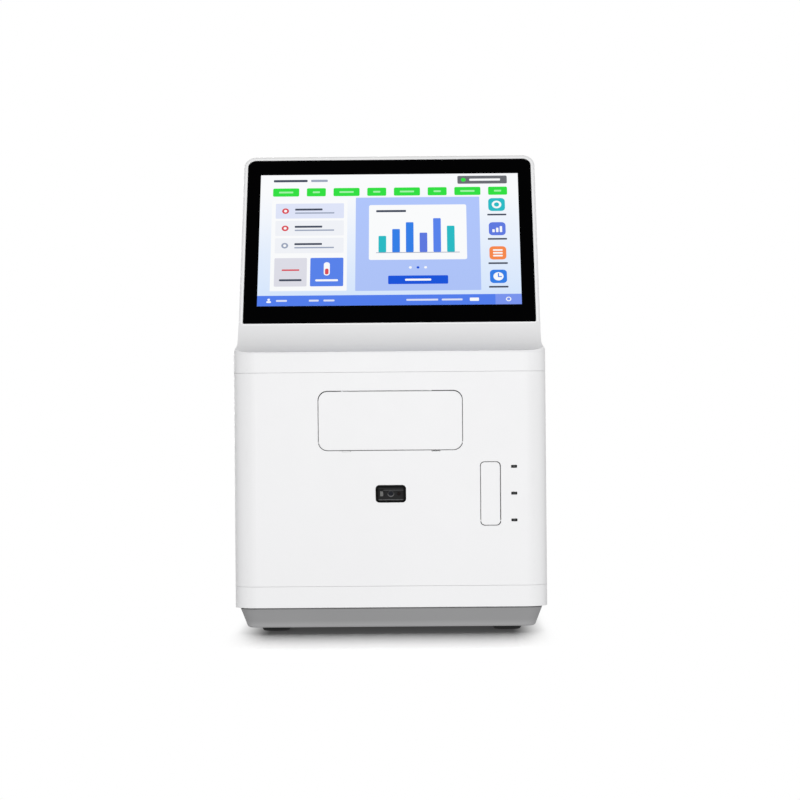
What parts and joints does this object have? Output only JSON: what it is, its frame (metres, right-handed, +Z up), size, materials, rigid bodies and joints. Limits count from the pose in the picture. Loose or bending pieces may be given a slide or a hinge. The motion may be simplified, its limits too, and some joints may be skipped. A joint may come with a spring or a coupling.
{
  "type": "blood gas analyzer",
  "caption": "Bench-top blood gas analyzer: white cabinet on a grey base, leaning touch display, front printer door, scanner window, sampling flap and side cartridge door.",
  "frame": {"origin": "under the middle of the body, on the plane that the feet stand on", "axes": "+Z up, front faces -Y, +X to the right of someone facing the front"},
  "size_m": [0.252, 0.31, 0.3945],
  "materials": {
    "white_shell": "smooth satin white moulding",
    "grey_base": "fine-textured dark grey moulding",
    "rear_plate": "fine powder coat",
    "foot_rubber": "dull moulded rubber",
    "cover_glass": "flat glass with a black printed border",
    "display": "lit colour display",
    "sheet_steel": "zinc-plated sheet",
    "black_plastic": "fine-textured black moulding",
    "grey_plastic": "plain grey moulding",
    "cartridge_plastic": "pale blue-grey moulding",
    "polished_steel": "ground and polished",
    "motor_metal": "drawn metal can",
    "print_head": "finned heat sink",
    "platen_rubber": "ground rubber roller",
    "paper": "smooth thermal paper",
    "board": "green circuit board",
    "lens_glass": "coated lens",
    "light_pipe": "smoked clear light pipe",
    "screw_steel": "plated screws"
  },
  "bodies": {
    "cabinet": {"base_screws": "screw_steel", "base_tray": "grey_base", "battery_pack": "black_plastic", "bulkhead": "sheet_steel", "cartridge_bay": "black_plastic", "chassis_plate": "sheet_steel", "cover_glass": "cover_glass", "display_bracket": "sheet_steel", "display_module": "display", "fan_frame": "black_plastic", "feed_motor": "motor_metal", "foot_front_left": "foot_rubber", "foot_front_right": "foot_rubber", "foot_rear_left": "foot_rubber", "foot_rear_right": "foot_rubber", "front_panel": "white_shell", "main_board": "board", "main_housing": "white_shell", "network_port": "black_plastic", "paper_spindle": "grey_plastic", "power_inlet": "black_plastic", "power_supply": "sheet_steel", "print_head": "print_head", "printer_bay": "black_plastic", "printer_frame": "sheet_steel", "probe_bracket": "sheet_steel", "probe_motor": "motor_metal", "probe_rods": "polished_steel", "probe_shroud": "black_plastic", "pump_housing": "black_plastic", "pump_motor": "motor_metal", "rear_panel": "rear_plate", "rear_screws": "screw_steel", "scan_bracket": "sheet_steel", "scan_engine": "black_plastic", "scan_lens": "lens_glass", "scanner_bezel": "black_plastic", "sensor_board": "board", "status_board": "board", "status_lights": "light_pipe", "switch_housing": "black_plastic", "upper_housing": "white_shell", "usb_ports": "polished_steel"},
    "paper_door": {"printer_door": "white_shell"},
    "platen": {"platen_roller": "platen_rubber"},
    "feed_gear": {"feed_pinion": "polished_steel"},
    "paper": {"paper_roll": "paper"},
    "flap": {"sampling_flap": "white_shell"},
    "probe": {"probe_carriage": "grey_plastic", "probe_needle": "polished_steel"},
    "lead_screw": {"probe_lead_screw": "polished_steel"},
    "side_door": {"cartridge_door": "white_shell"},
    "cartridge": {"reagent_cartridge": "cartridge_plastic"},
    "pump": {"pump_rotor": "polished_steel"},
    "roller_1": {"pump_roller_1": "grey_plastic"},
    "roller_2": {"pump_roller_2": "grey_plastic"},
    "roller_3": {"pump_roller_3": "grey_plastic"},
    "fan": {"fan_rotor": "black_plastic"},
    "rocker": {"switch_rocker": "black_plastic"}
  },
  "joints": [
    {"name": "printer_door_hinge", "type": "hinge", "parent": "cabinet", "child": "paper_door", "pos_m": [0.0005, -0.1535, 0.15285], "axis": [1, 0, 0], "range_deg": [0, 80]},
    {"name": "platen_spin", "type": "hinge", "parent": "cabinet", "child": "platen", "pos_m": [-0.006, -0.146, 0.1875], "axis": [1, 0, 0], "continuous": true},
    {"name": "feed_gear_spin", "type": "hinge", "parent": "cabinet", "child": "feed_gear", "pos_m": [0.0298, -0.13956, 0.18107], "axis": [1, 0, 0], "continuous": true},
    {"name": "paper_spin", "type": "hinge", "parent": "cabinet", "child": "paper", "pos_m": [-0.006, -0.1175, 0.167], "axis": [1, 0, 0], "continuous": true},
    {"name": "flap_hinge", "type": "hinge", "parent": "cabinet", "child": "flap", "pos_m": [0.08055, -0.1535, 0.08955], "axis": [1, 0, 0], "range_deg": [0, 65]},
    {"name": "probe_slide", "type": "slide", "parent": "cabinet", "child": "probe", "axis": [0, -1, 0], "range_m": [0, 0.0325]},
    {"name": "lead_screw_spin", "type": "hinge", "parent": "cabinet", "child": "lead_screw", "pos_m": [0.08055, -0.1, 0.1055], "axis": [0, 1, 0], "range_deg": [0, 2925]},
    {"name": "side_door_hinge", "type": "hinge", "parent": "cabinet", "child": "side_door", "pos_m": [0.1235, 0.0729, 0.115], "axis": [0, 0, 1], "range_deg": [0, 100]},
    {"name": "cartridge_slide", "type": "slide", "parent": "cabinet", "child": "cartridge", "axis": [1, 0, 0], "range_m": [0, 0.0542]},
    {"name": "pump_spin", "type": "hinge", "parent": "cabinet", "child": "pump", "pos_m": [0.029, 0.04, 0.11], "axis": [1, 0, 0], "continuous": true},
    {"name": "roller_1_spin", "type": "hinge", "parent": "pump", "child": "roller_1", "pos_m": [0.029, 0.04, 0.121], "axis": [1, 0, 0], "continuous": true},
    {"name": "roller_2_spin", "type": "hinge", "parent": "pump", "child": "roller_2", "pos_m": [0.029, 0.03047, 0.1045], "axis": [1, 0, 0], "continuous": true},
    {"name": "roller_3_spin", "type": "hinge", "parent": "pump", "child": "roller_3", "pos_m": [0.029, 0.04953, 0.1045], "axis": [1, 0, 0], "continuous": true},
    {"name": "fan_spin", "type": "hinge", "parent": "cabinet", "child": "fan", "pos_m": [0.052, 0.14, 0.15], "axis": [0, 1, 0], "continuous": true},
    {"name": "power_rocker", "type": "hinge", "parent": "cabinet", "child": "rocker", "pos_m": [-0.0845, 0.1496, 0.096], "axis": [-1, 0, 0], "range_deg": [0, 16]}
  ],
  "couplings": [
    {"joint": "feed_gear_spin", "follows": "paper_spin", "ratio": 8.4444},
    {"joint": "platen_spin", "follows": "paper_spin", "ratio": -4.2222},
    {"joint": "probe_slide", "follows": "flap_hinge", "m_per_rad": 0.0286},
    {"joint": "lead_screw_spin", "follows": "flap_hinge", "ratio": 44.92},
    {"joint": "cartridge_slide", "follows": "side_door_hinge", "m_per_rad": 0.031},
    {"joint": "roller_1_spin", "follows": "pump_spin", "ratio": -4.1429},
    {"joint": "roller_2_spin", "follows": "pump_spin", "ratio": -4.1429},
    {"joint": "roller_3_spin", "follows": "pump_spin", "ratio": -4.1429}
  ]
}
